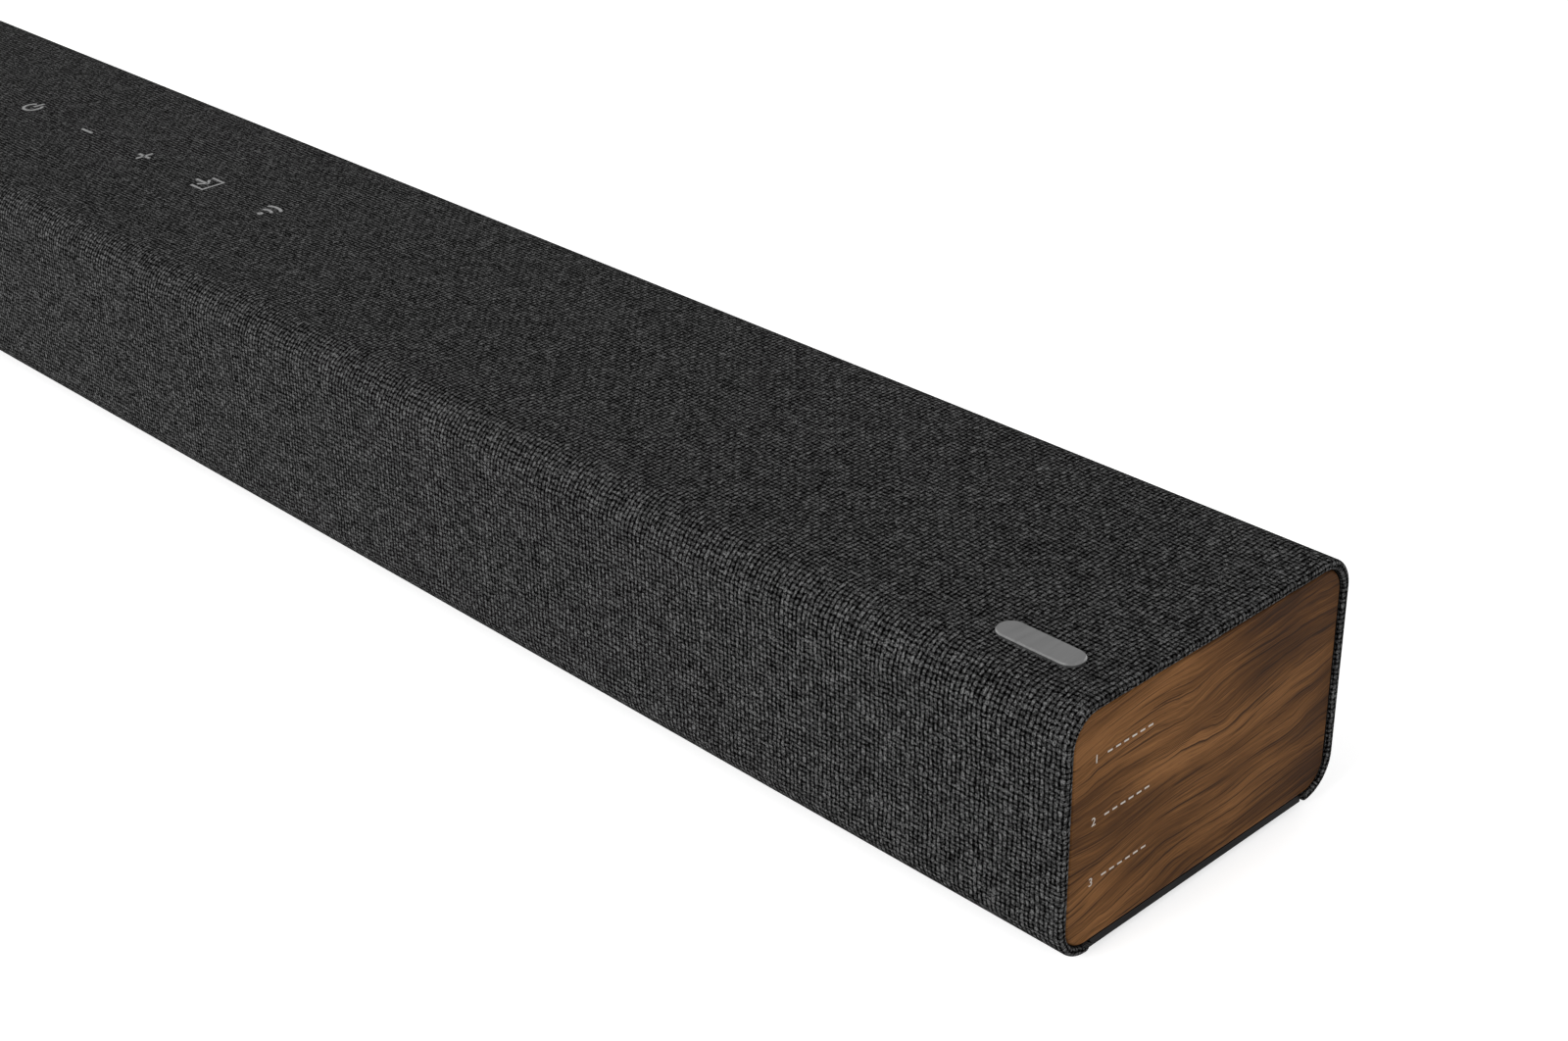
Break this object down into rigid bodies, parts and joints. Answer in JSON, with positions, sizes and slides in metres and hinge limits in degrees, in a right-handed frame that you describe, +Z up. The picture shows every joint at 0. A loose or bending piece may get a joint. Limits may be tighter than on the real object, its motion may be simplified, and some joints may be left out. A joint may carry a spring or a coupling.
{
  "type": "soundbar",
  "caption": "Long low soundbar wrapped in grey woven fabric, with walnut end panels, keys under the fabric, a recessed rear connector bay and rubber feet.",
  "frame": {"origin": "on the standing surface, under the middle of the bar", "axes": "+X along the bar towards the badge, -Y towards the listener, +Z up"},
  "size_m": [0.89, 0.096, 0.0643],
  "materials": {
    "fabric": "plain weave in mixed greys",
    "wood": "oiled walnut, satin",
    "badge_metal": "satin grey",
    "shell_plastic": "fine spark texture",
    "key_plastic": "matt",
    "box_plastic": "matt",
    "rubber": "matt",
    "foam": "open foam",
    "brass": "turned",
    "steel": "black zinc",
    "pressed_steel": "satin black",
    "socket_metal": "tin plated",
    "ferrite": "matt",
    "cone_paper": "pressed paper",
    "spider_cloth": "doped cloth",
    "circuit_board": "solder mask",
    "aluminium": "extruded",
    "socket_plastic": "moulded",
    "clear_plastic": "clear moulded",
    "lamp": "white package",
    "lead": "flat twin lead",
    "ribbon": "flat cable"
  },
  "bodies": {
    "chassis": {"badge": "badge_metal", "base_tray": "shell_plastic", "board_screws": "steel", "box_lid_left": "box_plastic", "box_lid_right": "box_plastic", "bracket_inserts": "brass", "bulk_capacitor": "aluminium", "connector_panel": "shell_plastic", "driver_baskets": "pressed_steel", "driver_gaskets": "foam", "driver_magnets": "ferrite", "driver_screws": "steel", "driver_spiders": "spider_cloth", "driver_surrounds": "rubber", "driver_yokes": "steel", "end_carrier_left": "shell_plastic", "end_carrier_right": "shell_plastic", "end_panel_left": "wood", "end_panel_right": "wood", "fabric_cover": "fabric", "grille_shell": "shell_plastic", "hdmi_sockets": "socket_metal", "heatsink": "aluminium", "indicator_board": "circuit_board", "indicator_leds": "lamp", "ir_receiver": "socket_plastic", "key_board": "circuit_board", "key_guide": "shell_plastic", "key_screws": "steel", "key_switches": "socket_plastic", "light_guide": "clear_plastic", "main_board": "circuit_board", "mains_inlet": "socket_plastic", "optical_socket": "socket_plastic", "panel_screws": "steel", "port_tube": "box_plastic", "power_board": "circuit_board", "ribbon_cable": "ribbon", "rubber_feet": "rubber", "speaker_box_left": "box_plastic", "speaker_box_right": "box_plastic", "speaker_lead_left": "lead", "speaker_lead_right": "lead", "transformer": "ferrite", "tray_screws": "steel", "usb_socket": "socket_metal", "wireless_module": "socket_metal", "woofer_box": "box_plastic", "woofer_box_lid": "box_plastic", "woofer_lead": "lead"},
    "power_key": {"key_power": "key_plastic"},
    "volume_down_key": {"key_volume_down": "key_plastic"},
    "volume_up_key": {"key_volume_up": "key_plastic"},
    "source_key": {"key_source": "key_plastic"},
    "pairing_key": {"key_pairing": "key_plastic"},
    "full_range_cone_left_assembly": {"full_range_cone_left": "cone_paper"},
    "full_range_cone_right_assembly": {"full_range_cone_right": "cone_paper"},
    "woofer_cone_assembly": {"woofer_cone": "cone_paper"}
  },
  "joints": [
    {"name": "power_key_press", "type": "slide", "parent": "chassis", "child": "power_key", "axis": [0, 0, -1], "range_m": [0, 0.0005], "stiffness_N_per_m": 3000, "springref_m": -0.0002},
    {"name": "volume_down_key_press", "type": "slide", "parent": "chassis", "child": "volume_down_key", "axis": [0, 0, -1], "range_m": [0, 0.0005], "stiffness_N_per_m": 3000, "springref_m": -0.0002},
    {"name": "volume_up_key_press", "type": "slide", "parent": "chassis", "child": "volume_up_key", "axis": [0, 0, -1], "range_m": [0, 0.0005], "stiffness_N_per_m": 3000, "springref_m": -0.0002},
    {"name": "source_key_press", "type": "slide", "parent": "chassis", "child": "source_key", "axis": [0, 0, -1], "range_m": [0, 0.0005], "stiffness_N_per_m": 3000, "springref_m": -0.0002},
    {"name": "pairing_key_press", "type": "slide", "parent": "chassis", "child": "pairing_key", "axis": [0, 0, -1], "range_m": [0, 0.0005], "stiffness_N_per_m": 3000, "springref_m": -0.0002},
    {"name": "full_range_left_stroke", "type": "slide", "parent": "chassis", "child": "full_range_cone_left_assembly", "axis": [0, -1, 0], "range_m": [-0.002, 0.002], "stiffness_N_per_m": 1200, "deforming": ["driver_surrounds", "driver_spiders"]},
    {"name": "full_range_right_stroke", "type": "slide", "parent": "chassis", "child": "full_range_cone_right_assembly", "axis": [0, -1, 0], "range_m": [-0.002, 0.002], "stiffness_N_per_m": 1200, "deforming": ["driver_surrounds", "driver_spiders"]},
    {"name": "woofer_stroke", "type": "slide", "parent": "chassis", "child": "woofer_cone_assembly", "axis": [0, -1, 0], "range_m": [-0.003, 0.003], "stiffness_N_per_m": 900, "deforming": ["driver_surrounds", "driver_spiders"]}
  ]
}
